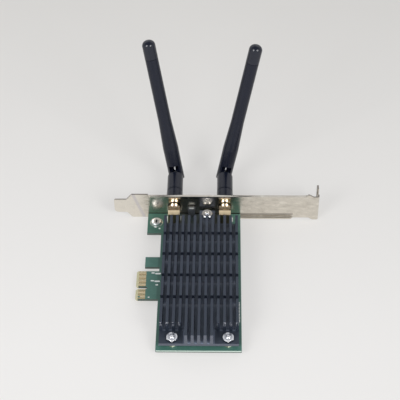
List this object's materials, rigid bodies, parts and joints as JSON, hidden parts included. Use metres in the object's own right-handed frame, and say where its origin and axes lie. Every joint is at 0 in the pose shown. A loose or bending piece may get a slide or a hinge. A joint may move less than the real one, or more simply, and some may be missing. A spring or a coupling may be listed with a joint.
{
  "type": "wireless network card",
  "caption": "Flat expansion card with a finned heatsink over a green board, a folded slot bracket and whip antennas that swivel and tilt, giving a computer wireless networking.",
  "frame": {"origin": "on the outer face of the slot bracket, midway between the antenna jacks, level with the component side of the board", "axes": "+X along the bracket to its screw tab, +Y out of the computer, +Z away from the component side"},
  "size_m": [0.1201, 0.1607, 0.0906],
  "materials": {
    "board_green": "glossy solder mask",
    "contact_gold": "gold plated",
    "bracket_steel": "bright nickel plate",
    "fastener_steel": "bright zinc plate",
    "heatsink_black": "black anodised",
    "brass": "bright plated brass",
    "antenna_black": "fine satin",
    "lamp_black": "satin",
    "lamp_clear": "clear",
    "dielectric_white": "waxy",
    "chip_black": "moulded",
    "pad_grey": "soft matt",
    "capacitor_tan": "fired ceramic",
    "can_silver": "brushed"
  },
  "bodies": {
    "card": {"amplifier_chips": "chip_black", "bracket": "bracket_steel", "bracket_screw": "fastener_steel", "circuit_board": "board_green", "coupling_capacitors": "capacitor_tan", "crystal": "can_silver", "edge_contacts_bottom": "contact_gold", "edge_contacts_top": "contact_gold", "heatsink": "heatsink_black", "heatsink_nuts": "fastener_steel", "heatsink_screws": "fastener_steel", "heatsink_spacers": "brass", "led_housing": "lamp_black", "led_lens": "lamp_clear", "left_collar": "antenna_black", "left_coupling_nut": "brass", "left_jack_body": "brass", "left_jack_insulator": "dielectric_white", "left_jack_nut": "brass", "left_jack_pin": "contact_gold", "left_jack_washer": "fastener_steel", "memory_chip": "chip_black", "power_inductor": "chip_black", "radio_chip": "chip_black", "right_collar": "antenna_black", "right_coupling_nut": "brass", "right_jack_body": "brass", "right_jack_insulator": "dielectric_white", "right_jack_nut": "brass", "right_jack_pin": "contact_gold", "right_jack_washer": "fastener_steel", "supply_capacitors": "capacitor_tan", "thermal_pads": "pad_grey"},
    "left_base": {"left_swivel": "antenna_black", "left_plug_contact": "contact_gold"},
    "left_rod": {"left_whip": "antenna_black", "left_hinge_pin": "antenna_black", "left_tip_cap": "antenna_black", "left_radiator": "can_silver"},
    "right_base": {"right_swivel": "antenna_black", "right_plug_contact": "contact_gold"},
    "right_rod": {"right_whip": "antenna_black", "right_hinge_pin": "antenna_black", "right_tip_cap": "antenna_black", "right_radiator": "can_silver"}
  },
  "joints": [
    {"name": "left_turn", "type": "hinge", "parent": "card", "child": "left_base", "pos_m": [-0.01485, 0.0108, 0.0059], "axis": [0, 1, 0], "range_deg": [-168, 14]},
    {"name": "left_tilt", "type": "hinge", "parent": "left_base", "child": "left_rod", "pos_m": [-0.01485, 0.02835, 0.0059], "axis": [0.9818, 0, 0.19], "range_deg": [-71, 19]},
    {"name": "right_turn", "type": "hinge", "parent": "card", "child": "right_base", "pos_m": [0.01485, 0.0108, 0.0059], "axis": [0, 1, 0], "range_deg": [-16, 166]},
    {"name": "right_tilt", "type": "hinge", "parent": "right_base", "child": "right_rod", "pos_m": [0.01485, 0.02835, 0.0059], "axis": [0.9759, 0, -0.2181], "range_deg": [-75, 15]}
  ]
}
